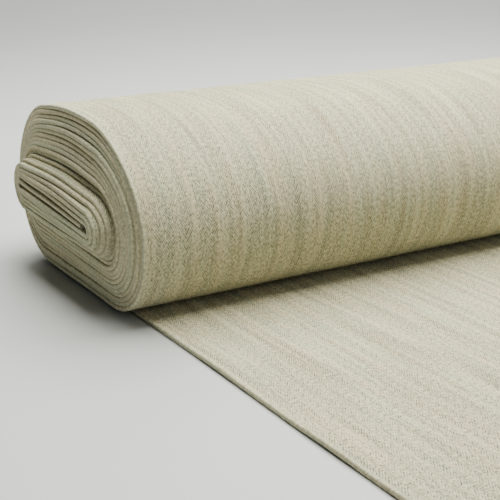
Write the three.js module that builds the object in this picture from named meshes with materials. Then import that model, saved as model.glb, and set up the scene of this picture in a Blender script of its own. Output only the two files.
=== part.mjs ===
// A bolt of wool herringbone cloth, partly unrolled on a table.
//
// The cloth is doubled along its length, fold at the left, both selvedges at the right, and wound
// flat on a thin grey board. The last turn runs on from under the roll as the sheet that lies on the
// table. Millimetres, +Z up. X runs along the roll, -Y is the way the sheet lies out, and the origin
// is on the table, under the middle of the roll.
//
// Looking at the left end with the sheet to the right, each turn goes from the rear bottom along the
// bottom to the front, up the front bend, back over the top and down the rear bend.

import * as THREE from 'three';

// The cloth
const clothWidth = 1440;            // selvedge to selvedge, lying open
const plyThickness = 1.75;          // one layer of cloth, lightly pressed
const foldedWidth = clothWidth / 2;
const clothThickness = 2 * plyThickness;
const contactGap = 0.3;             // between one turn and the next, and between meeting ends

// The board in the middle
const boardWidth = 144;
const boardThickness = 3;
const boardInset = 18;              // from each end of the innermost turn to the board's end
const boardCornerRadius = 12;

// The winding
const turnCount = 18;               // the first is only a top pass and a rear bend
const coreTurns = 6;                // the inner turns that have slipped out together
const startSetback = 10;            // from the front of the board's slot to the cloth's inner end
const rounding = 10;                // how much shorter the outermost flat is at each end than the board
const loft = 0.19;                  // how far the top of each turn arches, as a share of its reach
const shoulder = 0.3;               // how much wider than high the upper front bend is
const frontCornerPower = 0.8;       // under 1 squares the lower front bend, where the weight sits
const coreLift = 3.7;               // how far the board rides above the middle of the roll
const coreTilt = 0.046;             // how steeply the board leans: its front edge has sunk

// How far the turns have slipped towards the left end
const rollSlip = 12;                // the outermost turn, past the sheet's fold
const outerSlipPerTurn = 0.8;
const coreStep = 10;                // the step between the outer turns and the core
const coreSlipPerTurn = 0.7;

// The sheet on the table
const sheetFront = 560;             // from the roll's middle to the cut end

// Worked out from those
const slotReach = boardThickness / 2 + contactGap;       // from the board's middle to the first turn
const pitch = clothThickness + contactGap;
const rollReach = slotReach + pitch * (turnCount - 1) + clothThickness;
const axisHeight = rollReach;                            // the sheet's underside is on the table
const restingHalf = halfFlat(rollReach);                 // of the stretch of sheet that the roll lies on

// The stretches of a turn, as stations: 0 to 1 is the bottom, and so on
const FRONT_BEND = 1;
const TOP = 2;
const REAR_BEND = 3;
const TURN_END = 4;
const stepsOfStretch = [1, 14, 12, 14];

const clothMaterial = new THREE.MeshStandardMaterial({ color: 0xcfcab6, roughness: 0.95, metalness: 0 });
const coreMaterial = new THREE.MeshStandardMaterial({ color: 0xb9b5a2, roughness: 0.95, metalness: 0 });
const boardMaterial = new THREE.MeshStandardMaterial({ color: 0x8d8371, roughness: 0.9, metalness: 0 });

/** Half the flat stretch, between the centres of its two bends, of a line `reach` outside the board. */
function halfFlat(reach) {
  return boardWidth / 2 - (rounding * reach) / rollReach;
}

/** How far a line `reach` outside the board rides above its place in an even roll, at a given y. */
function lift(reach, y) {
  return (coreLift + coreTilt * y) * (1 - reach / rollReach);
}

/** The point [y, z] at a station of the line that lies `reach` outside the board's middle plane. */
function sectionPoint(reach, station) {
  const capCentre = halfFlat(reach);
  let y;
  let z;
  if (station <= FRONT_BEND) {
    y = capCentre * (1 - 2 * station);
    z = -reach;
  } else if (station <= TOP) {
    const angle = (station - FRONT_BEND - 0.5) * Math.PI;
    const out = Math.max(Math.cos(angle), 0);
    y = -capCentre - reach * (angle < 0 ? out ** frontCornerPower : out + shoulder * (out - 1));
    z = reach * Math.sin(angle);
  } else if (station <= REAR_BEND) {
    y = THREE.MathUtils.lerp(-capCentre + shoulder * reach, capCentre, station - TOP);
    z = reach;
  } else {
    const angle = (REAR_BEND + 0.5 - station) * Math.PI;
    y = capCentre + reach * Math.max(Math.cos(angle), 0);
    z = reach * Math.sin(angle);
  }
  if (z > 0) {
    z *= 1 + loft * Math.cos((Math.PI * y) / (2 * (capCentre + reach))) ** 2;
  }
  return new THREE.Vector2(y, z + axisHeight + lift(reach, y));
}

/** How far a turn's inner face lies from the board's middle. The winding gains its pitch in the front bend. */
function innerReach(turn, station) {
  const gained = THREE.MathUtils.clamp(station - FRONT_BEND, 0, 1);
  return slotReach + pitch * (turn - 2 + gained);
}

/** The stations from one to another, closer together in the bends than on the flats. */
function stationsBetween(from, to) {
  const stations = [from];
  stepsOfStretch.forEach((steps, stretch) => {
    for (let i = 0; i < steps; i += 1) {
      const station = stretch + i / steps;
      if (station > from + 0.01 && station < to - 0.01) {
        stations.push(station);
      }
    }
  });
  stations.push(to);
  return stations;
}

/** A station's share of a bend that makes a gap of contactGap at this reach. */
function gapShare(reach) {
  return contactGap / (reach * Math.PI);
}

/** The station where a turn stops short of the next one. */
function endStation(turn) {
  return TURN_END - gapShare(innerReach(turn, TURN_END));
}

/** An outline in [y, z], drawn along X from the left end at `start` for `length`. */
function alongX(shape, start, length) {
  const geometry = new THREE.ExtrudeGeometry(shape, { depth: length, bevelEnabled: false });
  const turned = new THREE.Matrix4().makeBasis(
    new THREE.Vector3(0, 1, 0),
    new THREE.Vector3(0, 0, 1),
    new THREE.Vector3(1, 0, 0),
  );
  geometry.applyMatrix4(turned);
  geometry.translate(start, 0, 0);
  return geometry;
}

/** How far a turn's left end stands out past the sheet's fold. */
function slipOf(turn) {
  const slippedOuter = rollSlip + (turnCount - Math.max(turn, coreTurns + 1)) * outerSlipPerTurn;
  if (turn > coreTurns) {
    return slippedOuter;
  }
  return slippedOuter + coreStep + (coreTurns - turn) * coreSlipPerTurn;
}

/** The stretch of one turn between two stations, as wide as the doubled cloth. */
function woundStretch(name, turn, from, to, slip, material) {
  const stations = stationsBetween(from, to);
  const inner = stations.map((s) => sectionPoint(innerReach(turn, s), s));
  const outer = stations.map((s) => sectionPoint(innerReach(turn, s) + clothThickness, s));
  const shape = new THREE.Shape([...inner, ...outer.reverse()]);
  const mesh = new THREE.Mesh(alongX(shape, -foldedWidth / 2 - slip, foldedWidth), material);
  mesh.name = name;
  return mesh;
}

/** Every whole turn, from the inner end of the cloth outwards. The last stops at the top of its rear bend. */
function windTurns(group) {
  for (let turn = 1; turn <= turnCount; turn += 1) {
    const from = turn === 1 ? TOP + startSetback / boardWidth : 0;
    const to = turn === turnCount ? REAR_BEND : endStation(turn);
    const name = `turn_${String(turn).padStart(2, '0')}`;
    const material = turn > coreTurns ? clothMaterial : coreMaterial;
    group.add(woundStretch(name, turn, from, to, slipOf(turn), material));
  }
}

/** The rear bend of the last turn, where the cloth comes off the roll and goes down to the table. */
function peelingBend() {
  const from = REAR_BEND + gapShare(innerReach(turnCount, REAR_BEND));
  return woundStretch('rear_bend', turnCount, from, endStation(turnCount), rollSlip / 2, clothMaterial);
}

/** A flat length of the doubled cloth on the table. */
function flatLength(name, front, rear) {
  const geometry = new THREE.BoxGeometry(foldedWidth, rear - front, clothThickness);
  const mesh = new THREE.Mesh(geometry, clothMaterial);
  mesh.name = name;
  mesh.position.set(0, (front + rear) / 2, clothThickness / 2);
  return mesh;
}

/** The grey board, with rounded corners, leaning as the slot that the first turns leave does. */
function boltBoard() {
  const length = foldedWidth - 2 * boardInset;
  const [x, y, r] = [length / 2, boardWidth / 2, boardCornerRadius];
  const outline = new THREE.Shape();
  outline.moveTo(-x + r, -y);
  outline.lineTo(x - r, -y);
  outline.absarc(x - r, -y + r, r, -Math.PI / 2, 0, false);
  outline.lineTo(x, y - r);
  outline.absarc(x - r, y - r, r, 0, Math.PI / 2, false);
  outline.lineTo(-x + r, y);
  outline.absarc(-x + r, y - r, r, Math.PI / 2, Math.PI, false);
  outline.lineTo(-x, -y + r);
  outline.absarc(-x + r, -y + r, r, Math.PI, 1.5 * Math.PI, false);
  const geometry = new THREE.ExtrudeGeometry(outline, {
    depth: boardThickness,
    bevelEnabled: false,
    curveSegments: 6,
  });
  geometry.translate(0, 0, -boardThickness / 2);
  const mesh = new THREE.Mesh(geometry, boardMaterial);
  mesh.name = 'bolt_board';
  mesh.rotation.x = Math.atan(coreTilt * (1 - slotReach / rollReach));
  mesh.position.set(-slipOf(1), 0, axisHeight + lift(slotReach, 0));
  return mesh;
}

const bolt = new THREE.Group();
windTurns(bolt);
bolt.add(peelingBend());
bolt.add(flatLength('sheet_under_roll', -restingHalf, restingHalf - contactGap));
bolt.add(flatLength('laid_sheet', -sheetFront, -restingHalf - contactGap));
bolt.add(boltBoard());

export default bolt;
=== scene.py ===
"""A bolt of wool herringbone, partly unrolled: the looks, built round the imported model.

The cloth is one doubled web. It starts on the board, is wound outwards in flat turns, comes off the
roll at the rear bend, passes under the roll and lies out on the table as a sheet. Each turn is a piece
of its own, cut from the same line, so the weave runs on from one to the next. Metres, +Z up.
"""

import logging
import math
from dataclasses import dataclass, field
from enum import Enum

import bpy
import numpy as np
from mathutils import Euler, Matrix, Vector


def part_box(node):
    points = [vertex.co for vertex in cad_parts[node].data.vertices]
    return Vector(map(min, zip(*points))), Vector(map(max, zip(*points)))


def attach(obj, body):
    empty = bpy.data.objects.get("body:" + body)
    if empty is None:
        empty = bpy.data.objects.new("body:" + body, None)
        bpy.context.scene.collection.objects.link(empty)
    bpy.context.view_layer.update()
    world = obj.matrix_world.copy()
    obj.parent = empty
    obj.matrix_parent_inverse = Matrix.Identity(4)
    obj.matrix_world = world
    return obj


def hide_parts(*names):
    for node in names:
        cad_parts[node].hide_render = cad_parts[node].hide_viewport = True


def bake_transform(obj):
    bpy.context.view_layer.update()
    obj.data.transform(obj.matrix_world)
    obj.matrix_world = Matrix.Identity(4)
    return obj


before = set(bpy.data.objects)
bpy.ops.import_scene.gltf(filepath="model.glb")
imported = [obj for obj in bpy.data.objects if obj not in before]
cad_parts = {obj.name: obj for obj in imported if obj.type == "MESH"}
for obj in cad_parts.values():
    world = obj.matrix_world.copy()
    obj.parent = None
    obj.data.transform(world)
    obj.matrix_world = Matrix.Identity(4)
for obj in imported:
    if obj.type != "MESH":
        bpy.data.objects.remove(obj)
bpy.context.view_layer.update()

logging.basicConfig(level=logging.INFO, format="%(name)s: %(message)s")
log = logging.getLogger("fabric_bolt")

Tree, Node, Socket = bpy.types.NodeTree, bpy.types.Node, bpy.types.NodeSocket

MM = 0.001
STEP_ALONG = 3.6 * MM  # between the points of a mesh along the cloth, in the bends
QUARTER = 0.25  # of a turn: each of its four stretches counts as one
FRONT_BEND_MIDDLE = 1.5 * QUARTER
ON_THE_LINE = 1e-9  # how far a rounded number may miss the point it stands for


class Body(str, Enum):
    """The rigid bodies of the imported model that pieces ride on."""

    LAID = "laid_cloth"
    PEEL = "peel"
    ROLL = "roll"
    CORE = "core"
    BOARD = "board"


class StepAcross(Enum):
    """How far apart the points of a mesh lie across the cloth, away from its fold, in metres."""

    BURIED = 60 * MM
    SHOWN = 8 * MM


# ----------------------------------------------------------
# Colours and nodes


def linear(hex_colour: str, alpha: float = 1.0) -> tuple[float, float, float, float]:
    """Turn an sRGB hex colour into the linear colour that a shader takes.

    Args:
        hex_colour: Six hex digits, such as "cfcab6".
        alpha: The fourth component.

    Returns:
        Linear red, green, blue and alpha.
    """
    parts = [int(hex_colour[i : i + 2], 16) / 255 for i in (0, 2, 4)]
    red, green, blue = (p / 12.92 if p <= 0.04045 else ((p + 0.055) / 1.055) ** 2.4 for p in parts)
    return red, green, blue, alpha


def add_node(tree: Tree, kind: str, inputs: dict | None = None, **settings) -> Node:
    """Add a node with its settings, its values and its links.

    Args:
        tree: The node tree to add to.
        kind: The node's type name.
        inputs: Input name or index to a value, or to the socket that feeds it.
        **settings: The node's own properties.

    Returns:
        The new node.
    """
    node = tree.nodes.new(kind)
    for name, value in settings.items():
        setattr(node, name, value)
    for key, value in (inputs or {}).items():
        if isinstance(value, Socket):
            tree.links.new(value, node.inputs[key])
        else:
            node.inputs[key].default_value = value
    return node


def new_material(name: str) -> tuple[bpy.types.Material, Tree]:
    """Make a material with an empty node tree.

    Args:
        name: The material's name.

    Returns:
        The material and its node tree.
    """
    material = bpy.data.materials.new(name)
    material.use_nodes = True
    material.node_tree.nodes.clear()
    return material, material.node_tree


def stretched_noise(tree: Tree, place: Socket, per_metre: tuple[float, float, float], **values) -> Node:
    """Add noise whose patches are longer one way than another.

    Args:
        tree: The node tree to add to.
        place: The coordinates, in metres.
        per_metre: How many patches there are in a metre, along each coordinate.
        **values: The noise's other inputs.

    Returns:
        The noise.
    """
    stretched = add_node(tree, "ShaderNodeMapping", {"Vector": place, "Scale": per_metre})
    return add_node(tree, "ShaderNodeTexNoise", {"Vector": stretched.outputs[0], "Scale": 1.0, **values})


# ----------------------------------------------------------
# Finishes


@dataclass(frozen=True)
class HerringboneWool:
    """Brushed wool coating in herringbone twill, undyed cream with grey-green flecks.

    The twill climbs one way in one column and the other way in the next. The yarn is a melange, so the
    flecks come and go in streaks that follow the warp, along the cloth's length. Brushing leaves a
    dull, slightly furry face with no shine. The twill is drawn coarser than such cloth has it, so that
    it shows. The two selvedges are woven plain, in a slightly darker band.

    Attributes:
        name: The material's name.
        cream: The warmer of the two creams that drift into each other.
        cool_cream: The cooler one.
        selvedge: The colour of the plain bands at the edges.
        fleck: The colour of the dark fibres.
        column: The width of one column of the herringbone.
        twill_pitch: From one furrow of the twill to the next, along the cloth.
        steepness: How far the twill climbs for each step across.
        wander: How far the yarns stray from straight.
        wander_per_metre: How many times they stray in a metre, so about every 3 mm.
        relief: The depth of the bump.
        furrow_depth: How deep the furrows are beside the nap's height.
        nap_per_metre: Tufts of nap in a metre, so about 1.1 mm apart.
        dashes_per_metre: Dashes of fleck in a metre across and along: 1.8 mm wide, 3 mm long.
        streaks_per_metre: Streaks of fleck across and along: about 6 mm wide, 125 mm long.
        streak_weight: How much the streaks count beside the dashes.
        drifts_per_metre: Changes of cream across and along: about 9 mm wide, 170 mm long.
        speckle: The share of the flecks that also shows between the furrows.
        selvedge_width: How wide the plain bands are.
        selvedge_blur: How wide the change is from the plain band to the twill.
        rubbed_width: How far from the fold the twill is rubbed.
        rubbed_share: How strongly the twill still shows on the fold itself.
        cloth_width: The width of the open cloth, selvedge to selvedge.
    """

    name: str = "wool_herringbone"
    cream: str = "d4caa2"
    cool_cream: str = "cecda7"
    selvedge: str = "bdb491"
    fleck: str = "3c3d2f"
    column: float = 5.6 * MM
    twill_pitch: float = 2.9 * MM
    steepness: float = 1.5
    wander: float = 2.8 * MM
    wander_per_metre: float = 340.0
    relief: float = 0.6 * MM
    furrow_depth: float = 0.7
    nap_per_metre: float = 900.0
    dashes_per_metre: tuple[float, float, float] = (560, 330, 1)
    streaks_per_metre: tuple[float, float, float] = (160, 8, 1)
    streak_weight: float = 0.45
    drifts_per_metre: tuple[float, float, float] = (110, 6, 1)
    speckle: float = 0.4
    selvedge_width: float = 9.0 * MM
    selvedge_blur: float = 1.0 * MM
    rubbed_width: float = 4.0 * MM
    rubbed_share: float = 0.35
    cloth_width: float = 1440 * MM

    def build(self) -> bpy.types.Material:
        """Make the material on the piece's UV map, whose units are metres across and along the cloth.

        Returns:
            The material.
        """
        material, tree = new_material(self.name)
        uv = add_node(tree, "ShaderNodeUVMap", uv_map="cloth").outputs["UV"]
        parts = add_node(tree, "ShaderNodeSeparateXYZ", {0: uv})
        from_selvedge = add_node(
            tree, "ShaderNodeMath", {0: parts.outputs["X"], 1: self.cloth_width / 2}, operation="PINGPONG"
        )
        patterned = add_node(
            tree,
            "ShaderNodeMapRange",
            {
                "Value": from_selvedge.outputs[0],
                "From Min": self.selvedge_width,
                "From Max": self.selvedge_width + self.selvedge_blur,
            },
        )
        # Along the fold, which is the middle of the open cloth, the twill is rubbed and stretched flat.
        rubbed = add_node(
            tree,
            "ShaderNodeMapRange",
            {
                "Value": from_selvedge.outputs[0],
                "From Min": self.cloth_width / 2 - self.rubbed_width,
                "From Max": self.cloth_width / 2,
                "To Min": 1.0,
                "To Max": self.rubbed_share,
            },
        )
        showing = add_node(
            tree, "ShaderNodeMath", {0: patterned.outputs[0], 1: rubbed.outputs[0]}, operation="MULTIPLY"
        )
        furrow = self.furrows(tree, uv, parts, showing)
        fleck_share = self.flecks(tree, uv, furrow)
        ground = self.ground(tree, uv, patterned)
        face = add_node(
            tree,
            "ShaderNodeMix",
            {0: fleck_share.outputs[0], 6: ground.outputs[2], 7: linear(self.fleck)},
            data_type="RGBA",
        )

        # The brushed nap is finer than the twill, and stands up from its ribs.
        nap = add_node(tree, "ShaderNodeTexNoise", {"Vector": uv, "Scale": self.nap_per_metre, "Detail": 3.0})
        height = add_node(
            tree,
            "ShaderNodeMath",
            {0: furrow.outputs[0], 1: -self.furrow_depth, 2: nap.outputs[0]},
            operation="MULTIPLY_ADD",
        )
        bump = add_node(
            tree, "ShaderNodeBump", {"Strength": 0.7, "Distance": self.relief, "Height": height.outputs[0]}
        )
        shader = add_node(
            tree,
            "ShaderNodeBsdfPrincipled",
            {
                "Base Color": face.outputs[2],
                "Roughness": 0.92,
                "IOR": 1.45,
                "Sheen Weight": 0.12,
                "Sheen Roughness": 0.6,
                "Specular IOR Level": 0.2,
                "Normal": bump.outputs[0],
            },
        )
        add_node(tree, "ShaderNodeOutputMaterial", {"Surface": shader.outputs[0]})
        return material

    def furrows(self, tree: Tree, uv: Socket, parts: Node, showing: Node) -> Node:
        """Lay the slanting furrows of the twill, 1 in a furrow and 0 on a rib.

        Args:
            tree: The node tree to add to.
            uv: The place on the cloth.
            parts: Its two coordinates, apart.
            showing: How strongly the twill shows, from 0 to 1.

        Returns:
            The node that gives the furrows.
        """
        # Yarns are never quite straight, so the twill wanders a little.
        noise = add_node(
            tree, "ShaderNodeTexNoise", {"Vector": uv, "Scale": self.wander_per_metre, "Detail": 2.0}
        )
        columns = add_node(
            tree, "ShaderNodeMath", {0: parts.outputs["X"], 1: self.column}, operation="DIVIDE"
        )
        zigzag = add_node(tree, "ShaderNodeMath", {0: columns.outputs[0], 1: 1.0}, operation="PINGPONG")
        climb = add_node(
            tree,
            "ShaderNodeMath",
            {0: zigzag.outputs[0], 1: self.column * self.steepness, 2: parts.outputs["Y"]},
            operation="MULTIPLY_ADD",
        )
        wandering = add_node(
            tree,
            "ShaderNodeMath",
            {0: noise.outputs[0], 1: self.wander, 2: climb.outputs[0]},
            operation="MULTIPLY_ADD",
        )
        rows = add_node(
            tree, "ShaderNodeMath", {0: wandering.outputs[0], 1: self.twill_pitch}, operation="DIVIDE"
        )
        ridge = add_node(tree, "ShaderNodeMath", {0: rows.outputs[0], 1: 0.5}, operation="PINGPONG")
        furrow = add_node(
            tree,
            "ShaderNodeMapRange",
            {"Value": ridge.outputs[0], "From Min": 0.08, "From Max": 0.34, "To Min": 1.0, "To Max": 0.0},
            interpolation_type="SMOOTHSTEP",
        )
        return add_node(
            tree, "ShaderNodeMath", {0: furrow.outputs[0], 1: showing.outputs[0]}, operation="MULTIPLY"
        )

    def flecks(self, tree: Tree, uv: Socket, furrow: Node) -> Node:
        """Break the furrows into dashes, where the darker fibres of the melange come to the face.

        Args:
            tree: The node tree to add to.
            uv: The place on the cloth.
            furrow: 1 in a furrow and 0 on a rib.

        Returns:
            The node that gives the share of the fleck colour.
        """
        dashes = stretched_noise(tree, uv, self.dashes_per_metre, Detail=3.0, Roughness=0.65)
        streaks = stretched_noise(tree, uv, self.streaks_per_metre, Detail=3.0)
        density = add_node(
            tree,
            "ShaderNodeMath",
            {0: streaks.outputs[0], 1: self.streak_weight, 2: dashes.outputs[0]},
            operation="MULTIPLY_ADD",
        )
        dashed = add_node(
            tree,
            "ShaderNodeMapRange",
            {"Value": density.outputs[0], "From Min": 0.58, "From Max": 0.84, "To Min": 0.04, "To Max": 1.0},
        )
        # Between the furrows a fainter speckle shows, of the same fibres.
        speckled = add_node(
            tree, "ShaderNodeMath", {0: furrow.outputs[0], 1: self.speckle}, operation="MAXIMUM"
        )
        return add_node(
            tree, "ShaderNodeMath", {0: dashed.outputs[0], 1: speckled.outputs[0]}, operation="MULTIPLY"
        )

    def ground(self, tree: Tree, uv: Socket, patterned: Node) -> Node:
        """Colour the cloth under its flecks: warm and cool creams drift, as lots of fibre do.

        Args:
            tree: The node tree to add to.
            uv: The place on the cloth.
            patterned: 0 on the selvedges, 1 elsewhere.

        Returns:
            The node that gives the colour, as its output 2.
        """
        drift = stretched_noise(tree, uv, self.drifts_per_metre, Detail=3.0)
        share = add_node(
            tree, "ShaderNodeMapRange", {"Value": drift.outputs[0], "From Min": 0.38, "From Max": 0.62}
        )
        creams = add_node(
            tree,
            "ShaderNodeMix",
            {0: share.outputs[0], 6: linear(self.cream), 7: linear(self.cool_cream)},
            data_type="RGBA",
        )
        return add_node(
            tree,
            "ShaderNodeMix",
            {0: patterned.outputs[0], 6: linear(self.selvedge), 7: creams.outputs[2]},
            data_type="RGBA",
        )


@dataclass(frozen=True)
class Greyboard:
    """Raw greyboard, pressed from waste paper: mottled grey-brown, dull, with short pale fibres.

    Attributes:
        name: The material's name.
        pulp: The colour of most of it.
        pale_pulp: The colour of the pale fibres.
        fibres_per_metre: Fibres along the board and across it: 4 mm long, about 1.1 mm wide.
        mottles_per_metre: Patches in a metre, so about 17 mm wide.
        relief: The depth of the bump.
    """

    name: str = "greyboard"
    pulp: str = "8d8371"
    pale_pulp: str = "a59b88"
    fibres_per_metre: tuple[float, float, float] = (250, 900, 900)
    mottles_per_metre: float = 60.0
    relief: float = 0.1 * MM

    def build(self) -> bpy.types.Material:
        """Make the material on Object coordinates.

        Returns:
            The material.
        """
        material, tree = new_material(self.name)
        place = add_node(tree, "ShaderNodeTexCoord").outputs["Object"]
        fibres = stretched_noise(tree, place, self.fibres_per_metre, Detail=4.0)
        mottle = add_node(
            tree, "ShaderNodeTexNoise", {"Vector": place, "Scale": self.mottles_per_metre, "Detail": 3.0}
        )
        blend = add_node(
            tree, "ShaderNodeMath", {0: fibres.outputs[0], 1: mottle.outputs[0]}, operation="MULTIPLY"
        )
        share = add_node(
            tree, "ShaderNodeMapRange", {"Value": blend.outputs[0], "From Min": 0.15, "From Max": 0.38}
        )
        colour = add_node(
            tree,
            "ShaderNodeMix",
            {0: share.outputs[0], 6: linear(self.pulp), 7: linear(self.pale_pulp)},
            data_type="RGBA",
        )
        bump = add_node(
            tree, "ShaderNodeBump", {"Strength": 0.3, "Distance": self.relief, "Height": fibres.outputs[0]}
        )
        shader = add_node(
            tree,
            "ShaderNodeBsdfPrincipled",
            {"Base Color": colour.outputs[2], "Roughness": 0.88, "Normal": bump.outputs[0]},
        )
        add_node(tree, "ShaderNodeOutputMaterial", {"Surface": shader.outputs[0]})
        return material


@dataclass(frozen=True)
class Tabletop:
    """A white laminate table, satin, almost without marks.

    Attributes:
        name: The material's name.
        white: Its colour.
        smears_per_metre: Patches wiped a little duller or shinier, so about 170 mm wide.
    """

    name: str = "white_laminate"
    white: str = "babbb7"
    smears_per_metre: float = 6.0

    def build(self) -> bpy.types.Material:
        """Make the material on Object coordinates.

        Returns:
            The material.
        """
        material, tree = new_material(self.name)
        place = add_node(tree, "ShaderNodeTexCoord").outputs["Object"]
        smear = add_node(
            tree, "ShaderNodeTexNoise", {"Vector": place, "Scale": self.smears_per_metre, "Detail": 2.0}
        )
        gloss = add_node(
            tree, "ShaderNodeMapRange", {"Value": smear.outputs[0], "To Min": 0.42, "To Max": 0.55}
        )
        shader = add_node(
            tree,
            "ShaderNodeBsdfPrincipled",
            {"Base Color": linear(self.white), "Roughness": gloss.outputs[0], "Specular IOR Level": 0.3},
        )
        add_node(tree, "ShaderNodeOutputMaterial", {"Surface": shader.outputs[0]})
        return material


# ----------------------------------------------------------
# The winding


def ramp(values: np.ndarray, start: float, length: float) -> np.ndarray:
    """Climb evenly from 0 to 1, and stay there.

    Args:
        values: Where to sample the climb.
        start: Where it starts.
        length: How far on it ends. A negative length climbs backwards.

    Returns:
        The height at each value.
    """
    return np.clip((values - start) / length, 0, 1)


def bell(values: np.ndarray, centre: float, width: float) -> np.ndarray:
    """Swell to 1 round one place, and fall away to 0 on both sides.

    Args:
        values: Where to sample the bell.
        centre: Where it is highest.
        width: How far from there it has fallen to about a third.

    Returns:
        The height at each value.
    """
    return np.exp(-(((values - centre) / width) ** 2))


@dataclass(frozen=True)
class Ripples:
    """Soft unevenness: a few seeded waves added up, from about -1 to 1.

    Attributes:
        seed: Seeds the waves, so that each run gives the same ones.
        wavelengths: The mean wavelength along each of the two coordinates it is sampled at.
        terms: How many waves are added.
    """

    seed: int
    wavelengths: tuple[float, float]
    terms: int = 7

    def at(self, first: np.ndarray, second: np.ndarray) -> np.ndarray:
        """Sample the waves.

        Args:
            first: One coordinate of each place.
            second: The other, which broadcasts with the first.

        Returns:
            The height at each place.
        """
        random = np.random.default_rng(self.seed)
        total = 0.0
        for _ in range(self.terms):
            length_a, length_b = (w * random.uniform(0.6, 1.7) for w in self.wavelengths)
            sign = random.choice((-1.0, 1.0))
            phase = random.uniform(0, 2 * math.pi)
            total = total + np.sin(2 * math.pi * (first / length_a + sign * second / length_b) + phase)
        return total / math.sqrt(self.terms)


@dataclass(frozen=True)
class Line:
    """A length of the web seen end on: the middle of the doubled cloth, outwards along the winding.

    Attributes:
        points: Each point's y and z.
        normals: The way out of the roll at each point.
        along: Distance along the cloth from its inner end.
        winding: The turn that each point is on, and how far round it, as turns from the inner end.
        slip: How far the fold stands out to the left of the laid sheet's.
    """

    points: np.ndarray
    normals: np.ndarray
    along: np.ndarray
    winding: np.ndarray
    slip: np.ndarray

    def part(self, start: float, end: float) -> "Line":
        """Cut out a stretch of the line.

        Args:
            start: The winding value that it starts at.
            end: The winding value that it ends at.

        Returns:
            The stretch, both ends included.
        """
        keep = (self.winding >= start - ON_THE_LINE) & (self.winding <= end + ON_THE_LINE)
        return Line(
            self.points[keep], self.normals[keep], self.along[keep], self.winding[keep], self.slip[keep]
        )

    @property
    def length(self) -> float:
        """The length of cloth in this stretch."""
        return float(self.along[-1] - self.along[0])


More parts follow.
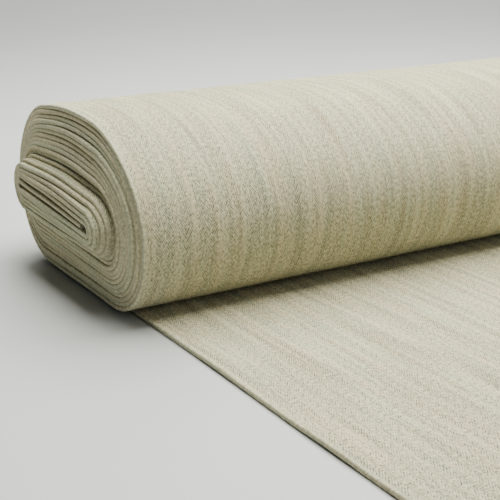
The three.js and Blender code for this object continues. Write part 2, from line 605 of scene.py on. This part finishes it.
@dataclass
class Winding:
    """How the doubled cloth is wound on the board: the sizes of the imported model, and the cloth's slack.

    A turn has four stretches, each a quarter of its count: the bottom, the front bend, the top and the
    rear bend.

    Attributes:
        ply: The thickness of one layer of the cloth.
        gap: Between one turn and the next.
        turns: How many turns there are. The first is only a top pass and a rear bend.
        core_turns: How many of the inner turns have slipped out together.
        board_width: The width of the board.
        board_thickness: Its thickness.
        rounding: How much shorter the outermost flat is at each end than the board.
        loft: How far the top of each turn arches, as a share of its reach.
        shoulder: How much wider than high the upper front bend is, as a share of its reach.
        front_corner_power: Under 1 it squares the lower front bend, where the weight sits.
        core_lift: How far the board rides above the middle of the roll.
        core_tilt: How steeply the board leans to the front.
        swell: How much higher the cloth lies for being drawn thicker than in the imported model.
        start_setback: From the front of the board's slot to the cloth's inner end.
        pinch: How far the first bend round the inner end is pressed in, at the fold.
        droop: How far the inner end droops into the slot, at the fold.
        bundle: How far the layers stray at the fold, as they lie in bundles.
        valley: How far the first turns outside the core are drawn in at the fold.
        shear: How far the outer turns of the core step back towards the front.
        fold_waver: How far the fold strays in and out from one turn to the next.
        sheet_low: The lower corner of the laid sheet's box.
    """

    ply: float = 1.75 * MM
    gap: float = 0.3 * MM
    turns: int = 18
    core_turns: int = 6
    board_width: float = 144 * MM
    board_thickness: float = 3 * MM
    rounding: float = 10 * MM
    loft: float = 0.19
    shoulder: float = 0.3
    front_corner_power: float = 0.8
    core_lift: float = 3.7 * MM
    core_tilt: float = 0.046
    swell: float = 0.12 * MM
    start_setback: float = 10 * MM
    pinch: float = 1.5 * MM
    droop: float = 1.9 * MM
    bundle: float = 0.22 * MM
    valley: float = 1.2 * MM
    shear: float = 6.0 * MM
    fold_waver: float = 0.9 * MM
    sheet_low: Vector = field(default_factory=lambda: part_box("laid_sheet")[0])

    def __post_init__(self) -> None:
        """Work out the rest from the sizes above."""
        self.thickness = 2 * self.ply
        self.pitch = self.thickness + self.gap
        self.width = -2 * self.sheet_low.x
        self.slot_reach = self.board_thickness / 2 + self.gap
        self.roll_reach = self.slot_reach + self.pitch * (self.turns - 1) + self.thickness
        self.rest_half = self.half_flat(self.roll_reach)
        self.slips = [-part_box(f"turn_{k:02d}")[0].x - self.width / 2 for k in range(1, self.turns + 1)]

    def half_flat(self, reach: float | np.ndarray) -> float | np.ndarray:
        """Measure the flat stretch of a line.

        Args:
            reach: How far the line lies outside the board's middle plane.

        Returns:
            Half the stretch, from the middle to the centre of a bend.
        """
        return self.board_width / 2 - self.rounding * reach / self.roll_reach

    def section(self, winding: np.ndarray) -> np.ndarray:
        """Place the middle of the doubled cloth.

        Args:
            winding: Turns from the inner end.

        Returns:
            The y and z of each point.
        """
        turn = np.minimum(np.floor(winding + ON_THE_LINE), self.turns - 1)
        station = 4 * (winding - turn)
        gained = np.clip(station - 1, 0, 1)
        reach = self.slot_reach + self.pitch * (turn - 1 + gained) + self.thickness / 2
        half = self.half_flat(reach)

        front = np.pi * (np.clip(station, 1, 2) - 1.5)
        rear = np.pi * (3.5 - np.clip(station, 3, 4))
        front_out = np.maximum(np.cos(front), 0)
        upper_out = front_out + self.shoulder * (front_out - 1)
        front_out = np.where(front < 0, front_out**self.front_corner_power, upper_out)
        top_start = -half + self.shoulder * reach
        choices = [station <= 1, station <= 2, station <= 3]
        y = np.select(
            choices,
            [
                half * (1 - 2 * station),
                -half - reach * front_out,
                top_start + (half - top_start) * (station - 2),
            ],
            half + reach * np.maximum(np.cos(rear), 0),
        )
        z = np.select(choices, [-reach, reach * np.sin(front), reach], reach * np.sin(rear))
        arch = 1 + self.loft * np.cos(np.pi * y / (2 * (half + reach))) ** 2
        lift = (self.core_lift + self.core_tilt * y) * (1 - reach / self.roll_reach)
        z = np.where(z > 0, z * arch, z) + lift
        return np.stack([y, z + self.roll_reach + self.swell], axis=1)

    def slackness(self, winding: np.ndarray) -> np.ndarray:
        """Find how far the fold lies off its place: layers lie in bundles, close here and slack there.

        The cloth's inner end droops into the slot, and the first bend round it is pressed nearly shut.
        The innermost and outermost turns lie true.

        Args:
            winding: Turns from the inner end.

        Returns:
            How far out of the roll the fold lies at each point.
        """
        waves = Ripples(seed=5, wavelengths=(2.9, 2.2)).at(winding, winding % 1)
        bundled = ramp(winding, start=1.0, length=1.5) * ramp(winding, start=self.turns - 0.6, length=-1.5)
        tongue = ramp(winding, start=0.78, length=-0.08)
        pinched = bell(winding, centre=1 + FRONT_BEND_MIDDLE, width=0.15)
        return self.bundle * waves * bundled - self.droop * tongue - self.pinch * pinched

    def slip_at(self, winding: np.ndarray) -> np.ndarray:
        """Find how far the fold stands out, easing from one turn's slip to the next.

        On its way down the rear bend the cloth comes back to halfway between the roll and the sheet.

        Args:
            winding: Turns from the inner end.

        Returns:
            How far to the left of the laid sheet's fold each point's fold stands.
        """
        outer = np.minimum(winding, self.turns - 1.0)
        steady = np.interp(outer, np.arange(self.turns) + 0.5, self.slips)
        leaving = ramp(winding, start=self.turns - QUARTER, length=QUARTER)
        steady = steady * (1 - 0.5 * leaving * leaving * (3 - 2 * leaving))
        hollow = bell(winding, centre=self.core_turns + 1.3, width=0.9) * (winding > self.core_turns)
        in_front = 0.5 + 0.5 * np.cos(2 * math.pi * (winding % 1 - FRONT_BEND_MIDDLE))
        sunk = bell(winding, centre=self.core_turns - 0.6, width=1.3) * in_front**1.5
        waves = Ripples(seed=11, wavelengths=(1.7, 9.0)).at(winding, winding)
        wavering = self.fold_waver * waves * ramp(winding, start=self.turns - 0.5, length=-1.0)
        return steady - self.valley * hollow - self.shear * sunk + wavering

    def whole(self, step: float) -> Line:
        """Set out the whole wound length, from the inner end to where the cloth meets the table.

        Args:
            step: About how far apart the points lie in the bends.

        Returns:
            The line, with a point at each quarter turn.
        """
        fewest_in_bend, steps_in_flat = 8, 14
        values = []
        for turn in range(self.turns):
            reach = self.slot_reach + self.pitch * turn
            for stretch in range(4):
                bend = stretch % 2 == 1
                count = max(fewest_in_bend, round(math.pi * reach / step)) if bend else steps_in_flat
                values.append(turn + (stretch + np.arange(count) / count) * QUARTER)
        winding = np.append(np.concatenate(values), float(self.turns))
        # The cloth starts a little way along the first turn's top pass, with no point close behind it.
        first, too_close = 2 * QUARTER + QUARTER * self.start_setback / self.board_width, 1e-4
        winding = np.insert(winding[winding > first + too_close], 0, first)
        points = self.section(winding)
        return self.line(points, winding, self.slip_at(winding))

    def line(self, points: np.ndarray, winding: np.ndarray, slip: np.ndarray, start: float = 0.0) -> Line:
        """Complete a line from its points.

        Args:
            points: Each point's y and z.
            winding: Each point's turns from the inner end.
            slip: How far each point's fold stands out.
            start: How far from the inner end the first point is, along the cloth.

        Returns:
            The line, with its normals and its distances.
        """
        steps = np.linalg.norm(np.diff(points, axis=0), axis=1)
        along = start + np.concatenate([[0.0], np.cumsum(steps)])
        tangent = np.gradient(points, along, axis=0)
        tangent /= np.linalg.norm(tangent, axis=1, keepdims=True)
        normals = np.stack([tangent[:, 1], -tangent[:, 0]], axis=1)
        return Line(points, -normals, along, winding, slip)


# ----------------------------------------------------------
# The cloth


@dataclass
class DoubledCloth:
    """Cloth doubled along its length, with a soft fold at the left and two selvedges at the right.

    Attributes:
        winding: The sizes it is wound to.
        finish: The cloth's material.
        ply: The thickness that shows for one layer.
        ply_gap: Between the two layers, where they lie flat.
        fold_puff: How far the two layers stand apart at the fold, over lying flat.
        fold_reach: How far from the fold that puff goes.
        fold_corner: How wide the corners of the pressed fold are.
        fold_crown: How far the face between them bulges.
        fold_waver: How far the fold strays from straight along the cloth.
        fine_reach: How far from the fold the mesh is fine.
        slack_reach: How far from the fold the layers can lie off their place.
        selvedge_drift: How far the two selvedges miss each other.
        cut_reach: How far from the cut end its raggedness goes.
    """

    winding: Winding
    finish: bpy.types.Material
    ply: float = 1.84 * MM
    ply_gap: float = 0.04 * MM
    fold_puff: float = 0.04 * MM
    fold_reach: float = 7 * MM
    fold_corner: float = 0.12 * MM
    fold_crown: float = 0.16 * MM
    fold_waver: float = 0.35 * MM
    fine_reach: float = 44 * MM
    slack_reach: float = 14 * MM
    selvedge_drift: float = 2.5 * MM
    cut_reach: float = 12 * MM

    def across(self, step: float) -> tuple[np.ndarray, np.ndarray, np.ndarray]:
        """Set out one cross-cut, from the inner layer's selvedge round the fold to the outer layer's.

        Args:
            step: About how far apart the points lie, away from the fold.

        Returns:
            Distance from the fold, offset out of the middle of the doubled cloth, and distance across
            the open cloth.
        """
        fewest_far, points_in_fold = 6, 5
        width = self.winding.width
        half = (self.ply + self.ply_gap) / 2
        near = np.array([0.4, 1.2, 2.4, 4.2, 6.6, 10, 15, 22, 32]) * MM
        count = max(fewest_far, round((width - self.fine_reach) / step))
        out = np.concatenate([near, np.linspace(self.fine_reach, width - half, count)])
        offset = half + self.fold_puff * np.exp(-out / self.fold_reach)
        fold_half = half + self.fold_puff
        # The fold is pressed flat: a slightly crowned face between two narrow corners.
        share = np.linspace(-1, 1, points_in_fold)
        face = (fold_half - self.fold_corner) * share
        crown = self.fold_corner + self.fold_crown * (1 - share**2)
        fold_depth = self.fold_corner + self.fold_crown
        distance = np.concatenate([out[::-1], [0.0], -crown, [0.0], out])
        outward = np.concatenate([-offset[::-1], [-fold_half], face, [fold_half], offset])
        steps = np.hypot(np.diff(distance), np.diff(outward))
        return distance + fold_depth, outward, np.concatenate([[0.0], np.cumsum(steps)])

    def surface(
        self, line: Line, distance: np.ndarray, outward: np.ndarray, lift: float | np.ndarray, ragged: float
    ) -> np.ndarray:
        """Set out every point of a length of the doubled cloth.

        Args:
            line: Where it runs, seen end on.
            distance: Each point's distance from the fold, in one cross-cut.
            outward: Each point's offset out of the middle of the doubled cloth, in one cross-cut.
            lift: How far soft unevenness pushes the cloth outwards, once or for each point of the line.
            ragged: How far its last edge strays from straight.

        Returns:
            Each point's x, y and z, by row along the line and by column across it.
        """
        fold_wave = Ripples(seed=23, wavelengths=(0.16, 1.0)).at(line.along, 0 * line.along)
        left = -self.winding.width / 2 - line.slip + self.fold_waver * fold_wave
        x = left[:, None] + distance[None, :]
        drift = Ripples(seed=29, wavelengths=(0.35, 1.0)).at(line.along, 0 * line.along)
        towards_selvedge = np.clip(distance / self.winding.width, 0, 1) * np.sign(outward)
        x = x + 0.5 * self.selvedge_drift * drift[:, None] * towards_selvedge[None, :]

        unevenness = Ripples(seed=37, wavelengths=(0.11, 0.19)).at(line.along[:, None], x)
        near_fold = bell(np.maximum(distance, 0), centre=0.0, width=self.slack_reach)
        slack = self.winding.slackness(line.winding)[:, None] * near_fold[None, :]
        raised = np.reshape(lift, (-1, 1)) * (0.5 + 0.5 * np.tanh(unevenness))
        out = outward[None, :] + slack + raised
        y = line.points[:, 0][:, None] + line.normals[:, 0][:, None] * out
        z = line.points[:, 1][:, None] + line.normals[:, 1][:, None] * out

        near_end = np.exp(-(line.along[-1] - line.along) / self.cut_reach)[:, None]
        cut_wave = Ripples(seed=41, wavelengths=(0.09, 0.05)).at(x, np.sign(outward)[None, :])
        return np.stack([x, y + ragged * near_end * cut_wave, z], axis=2)

    def piece(
        self,
        name: str,
        line: Line,
        across: StepAcross,
        lift: float | np.ndarray = 0.0,
        ragged: float = 0.0,
    ) -> bpy.types.Object:
        """Make a length of the doubled cloth, both layers and the fold between them.

        Args:
            name: The piece's name.
            line: Where it runs, seen end on.
            across: How closely it is meshed across.
            lift: How far soft unevenness pushes it outwards, once or for each point of the line.
            ragged: How far its last edge strays from straight.

        Returns:
            The finished piece, at the origin.
        """
        distance, outward, breadth = self.across(across.value)
        rows, columns = len(line.along), len(distance)
        vertices = self.surface(line, distance, outward, lift, ragged).reshape(-1, 3)
        corner = np.arange(rows * columns).reshape(rows, columns)
        faces = np.stack(
            [corner[:-1, :-1], corner[:-1, 1:], corner[1:, 1:], corner[1:, :-1]], axis=2
        ).reshape(-1, 4)
        mesh = bpy.data.meshes.new(name)
        mesh.from_pydata(vertices.tolist(), [], faces.tolist())
        uv = mesh.uv_layers.new(name="cloth")
        places = np.stack(np.broadcast_arrays(breadth[None, :], line.along[:, None]), axis=2).reshape(-1, 2)
        uv.data.foreach_set("uv", places[faces.ravel()].ravel())
        mesh.materials.append(self.finish)
        piece = bpy.data.objects.new(name, mesh)
        bpy.context.scene.collection.objects.link(piece)
        self.thicken(piece)
        return piece

    def thicken(self, piece: bpy.types.Object) -> None:
        """Give a surface the thickness of one layer of cloth, half to each side.

        Args:
            piece: The surface.
        """
        bpy.ops.object.select_all(action="DESELECT")
        bpy.context.view_layer.objects.active = piece
        piece.select_set(True)
        solidify = piece.modifiers.new("ply", "SOLIDIFY")
        solidify.thickness = self.ply
        solidify.offset = 0.0
        solidify.use_even_offset = True
        bpy.ops.object.modifier_apply(modifier=solidify.name)
        bpy.ops.object.shade_smooth_by_angle(angle=math.radians(50))
        piece.select_set(False)

    def declare(self, piece: bpy.types.Object, line: Line, held: str, rests_on: list[str]) -> None:
        """Do nothing: the flat size that a piece was cut to, the open width and its length, is not stated.

        Args:
            piece: The piece; not used.
            line: The line it was made along; not used.
            held: How it keeps its shape; not used.
            rests_on: What it lies on; not used.
        """


@dataclass
class WoundCloth:
    """The turns of the roll and of its core, each a length of the one web.

    Attributes:
        cloth: The cloth they are made of.
        line: The whole wound length.
        unevenness: How far the outermost turn's face swells here and there.
    """

    cloth: DoubledCloth
    line: Line
    unevenness: float = 0.5 * MM

    def build(self) -> None:
        """Make every turn, and let it ride with the roll or with the core."""
        winding = self.cloth.winding
        for turn in range(1, winding.turns + 1):
            shown = turn == winding.turns
            line = self.line.part(turn - 1, turn - QUARTER if shown else turn)
            node = f"turn_{turn:02d}"
            piece = self.cloth.piece(
                f"cloth_{node}",
                line,
                StepAcross.SHOWN if shown else StepAcross.BURIED,
                lift=self.unevenness if shown else 0.0,
            )
            below = "bolt_board" if turn == 1 else f"turn_{turn - 1:02d}"
            self.cloth.declare(piece, line, "folded", [below])
            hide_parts(node)
            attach(piece, Body.CORE.value if turn <= winding.core_turns else Body.ROLL.value)
            log.info("%s: %.0f mm of cloth", piece.name, line.length / MM)


@dataclass
class PeelingBend:
    """The rear bend of the last turn, where the cloth leaves the roll for the table.

    Attributes:
        cloth: The cloth it is made of.
        line: The whole wound length.
    """

    cloth: DoubledCloth
    line: Line

    def build(self) -> None:
        """Make the bend, following the table at its foot and the roll at its top."""
        winding = self.cloth.winding
        line = self.line.part(winding.turns - QUARTER, winding.turns)
        piece = self.cloth.piece("cloth_rear_bend", line, StepAcross.SHOWN)
        self.cloth.declare(piece, line, "folded", ["turn_17"])
        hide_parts("rear_bend")
        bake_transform(piece)
        log.info("%s: %.0f mm of cloth", piece.name, line.length / MM)


@dataclass
class LaidSheet:
    """The unrolled end of the web, from under the roll to its cut end on the table.

    Attributes:
        cloth: The cloth it is made of.
        wound: The whole wound length, which it carries on from.
        points: How many points its line has.
        unevenness: How far the sheet rises off the table here and there, clear of the roll.
        clear_of_roll: How far in front of the roll's middle that starts.
        easing: Over what length it grows.
        cut_waver: How far the cut end strays from straight.
    """

    cloth: DoubledCloth
    wound: Line
    points: int = 110
    unevenness: float = 0.9 * MM
    clear_of_roll: float = 140 * MM
    easing: float = 80 * MM
    cut_waver: float = 0.8 * MM

    def line(self) -> Line:
        """Set out the sheet.

        Returns:
            The line from where the rear bend meets the table to the cut end.
        """
        winding = self.cloth.winding
        foot = self.wound.points[-1]
        y = np.linspace(foot[0], winding.sheet_low.y, self.points)
        points = np.stack([y, np.full_like(y, foot[1])], axis=1)
        slip = np.interp(y, [-winding.rest_half, winding.rest_half], [0.0, self.wound.slip[-1]])
        return winding.line(points, np.full_like(y, winding.turns), slip, self.wound.along[-1])

    def build(self) -> None:
        """Make the sheet."""
        line = self.line()
        # Out of the roll is down here, so a negative lift raises the sheet.
        rise = -self.unevenness * ramp(-line.points[:, 0], start=self.clear_of_roll, length=self.easing)
        piece = self.cloth.piece("cloth_sheet", line, StepAcross.SHOWN, lift=rise, ragged=self.cut_waver)
        self.cloth.declare(piece, line, "laid", ["table_top"])
        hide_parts("laid_sheet", "sheet_under_roll")
        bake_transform(piece)
        log.info("%s: %.0f mm of cloth", piece.name, line.length / MM)


# ----------------------------------------------------------
# The board


@dataclass
class BoltBoard:
    """The greyboard that the cloth is wound on, with rounded corners and softened edges.

    Attributes:
        winding: The sizes of the board and how it leans.
        finish: Its material.
        corner_radius: The radius of its four corners, seen from above.
        edge_radius: The radius of its worn edges.
    """

    winding: Winding
    finish: bpy.types.Material
    corner_radius: float = 12 * MM
    edge_radius: float = 0.5 * MM

    def build(self) -> None:
        """Model the board in the box of its CAD node, leaning as the slot does."""
        winding = self.winding
        low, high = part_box("bolt_board")
        bpy.ops.object.select_all(action="DESELECT")
        bpy.ops.mesh.primitive_cube_add(size=1)
        board = bpy.context.active_object
        board.name = "greyboard_core"
        board.scale = (high.x - low.x, winding.board_width, winding.board_thickness)
        bpy.ops.object.transform_apply(location=True, rotation=True, scale=True)
        self.round_corners(board)
        self.wear_edges(board)
        board.location = (low + high) / 2
        board.rotation_euler.x = math.atan(winding.core_tilt * (1 - winding.slot_reach / winding.roll_reach))
        bpy.ops.object.transform_apply(location=True, rotation=True, scale=True)
        board.data.materials.append(self.finish)
        board.select_set(False)
        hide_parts("bolt_board")
        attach(board, Body.BOARD.value)
        log.info("%s: %.0f by %.0f mm", board.name, (high.x - low.x) / MM, (high.y - low.y) / MM)

    def round_corners(self, board: bpy.types.Object) -> None:
        """Round the four upright edges.

        Args:
            board: The board, lying flat at the origin.
        """
        bpy.ops.object.mode_set(mode="EDIT")
        bpy.ops.mesh.select_mode(type="EDGE")
        bpy.ops.mesh.select_all(action="DESELECT")
        bpy.ops.object.mode_set(mode="OBJECT")
        for edge in board.data.edges:
            ends = [board.data.vertices[i].co for i in edge.vertices]
            edge.select = abs(ends[0].z - ends[1].z) > 1 * MM
        bpy.ops.object.mode_set(mode="EDIT")
        bpy.ops.mesh.bevel(offset=self.corner_radius, segments=8)
        bpy.ops.object.mode_set(mode="OBJECT")

    def wear_edges(self, board: bpy.types.Object) -> None:
        """Soften the edges all round.

        Args:
            board: The board, with its corners rounded.
        """
        bevel = board.modifiers.new("worn_edges", "BEVEL")
        bevel.width = self.edge_radius
        bevel.segments = 3
        bevel.limit_method = "ANGLE"
        bevel.angle_limit = math.radians(60)
        bpy.ops.object.modifier_apply(modifier=bevel.name)
        bpy.ops.object.shade_smooth_by_angle(angle=math.radians(35))


# ----------------------------------------------------------
# Stage


@dataclass(frozen=True)
class Softbox:
    """A square softbox, which lights the scene and isn't seen itself.

    Attributes:
        name: The lamp's name.
        place: Where it hangs.
        target: What it points at.
        size: Its side.
        watts: Its power.
        colour: Its light, a trace warmer than white.
    """

    name: str
    place: tuple[float, float, float]
    target: tuple[float, float, float]
    size: float
    watts: float
    colour: str = "fffefa"

    def hang(self) -> None:
        """Add the lamp, pointed at its target."""
        bpy.ops.object.light_add(type="AREA", location=self.place)
        lamp = bpy.context.active_object
        lamp.name = self.name
        facing = Vector(self.target) - Vector(self.place)
        lamp.rotation_euler = facing.to_track_quat("-Z", "Y").to_euler()
        lamp.data.size = self.size
        lamp.data.energy = self.watts
        lamp.data.color = linear(self.colour)[:3]
        lamp.visible_camera = False


@dataclass
class Studio:
    """The table, the soft light and the camera.

    Attributes:
        winding: The sizes that the camera stands by.
        heading: How far the camera is turned from straight across the roll, towards its far end.
        pitch_down: How far it looks down.
        focal_length: Its lens, in millimetres.
        sensor_width: The width of its sensor, in millimetres.
        beside_sheet: How far to the left of the sheet's fold it stands.
        before_roll: How far in front of the roll's middle.
        height: How far above the table.
        table_size: The side of the tabletop.
        room_colour: The dim light that comes from all round.
        room_strength: How strong it is.
    """

    winding: Winding
    heading: float = math.radians(31.43)
    pitch_down: float = math.radians(18.02)
    focal_length: float = 80.33
    sensor_width: float = 36.0
    beside_sheet: float = 356.2 * MM
    before_roll: float = 842.3 * MM
    height: float = 325 * MM
    table_size: float = 16.0
    room_colour: str = "d8e4f2"
    room_strength: float = 0.11

    def build(self) -> None:
        """Set the camera, the table and the lights."""
        self.camera()
        self.table()
        self.lights()

    def camera(self) -> None:
        """Stand the camera at the left end, looking down along the roll."""
        bpy.ops.object.camera_add()
        camera = bpy.context.active_object
        camera.name = "camera"
        camera.location = (-self.winding.width / 2 - self.beside_sheet, -self.before_roll, self.height)
        camera.rotation_euler = Euler((math.pi / 2 - self.pitch_down, 0, -self.heading))
        camera.data.lens = self.focal_length
        camera.data.sensor_width = self.sensor_width
        camera.data.clip_end = 100
        bpy.context.scene.camera = camera

    def table(self) -> None:
        """Lay a wide pale tabletop under everything."""
        bpy.ops.object.select_all(action="DESELECT")
        bpy.ops.mesh.primitive_plane_add(size=self.table_size, location=(0, 0, 0))
        table = bpy.context.active_object
        table.name = "table_top"
        table.data.materials.append(Tabletop().build())

    def lights(self) -> None:
        """Hang soft lights over the roll, low in front of it and over the table behind, in a dim room."""
        world = bpy.data.worlds.new("soft_room")
        world.use_nodes = True
        background = world.node_tree.nodes["Background"]
        background.inputs["Color"].default_value = linear(self.room_colour)
        background.inputs["Strength"].default_value = self.room_strength
        bpy.context.scene.world = world
        Softbox("key_light", (0.2, 0.12, 1.2), target=(0.2, 0.12, 0), size=1.4, watts=72).hang()
        Softbox("front_light", (0.5, -2.2, 1.3), target=(0, 0, 0.1), size=1.6, watts=11).hang()
        Softbox("back_light", (1.6, 2.6, 2.4), target=(1.2, 2.2, 0), size=2.4, watts=130).hang()


# ----------------------------------------------------------


def main() -> None:
    """Build the stage, the cloth and the board."""
    winding = Winding()
    Studio(winding).build()
    wool = HerringboneWool().build()
    cloth = DoubledCloth(winding, wool)
    whole = winding.whole(STEP_ALONG)
    WoundCloth(cloth, whole).build()
    PeelingBend(cloth, whole).build()
    LaidSheet(cloth, whole).build()
    BoltBoard(winding, Greyboard().build()).build()


if __name__ == "__main__":
    main()
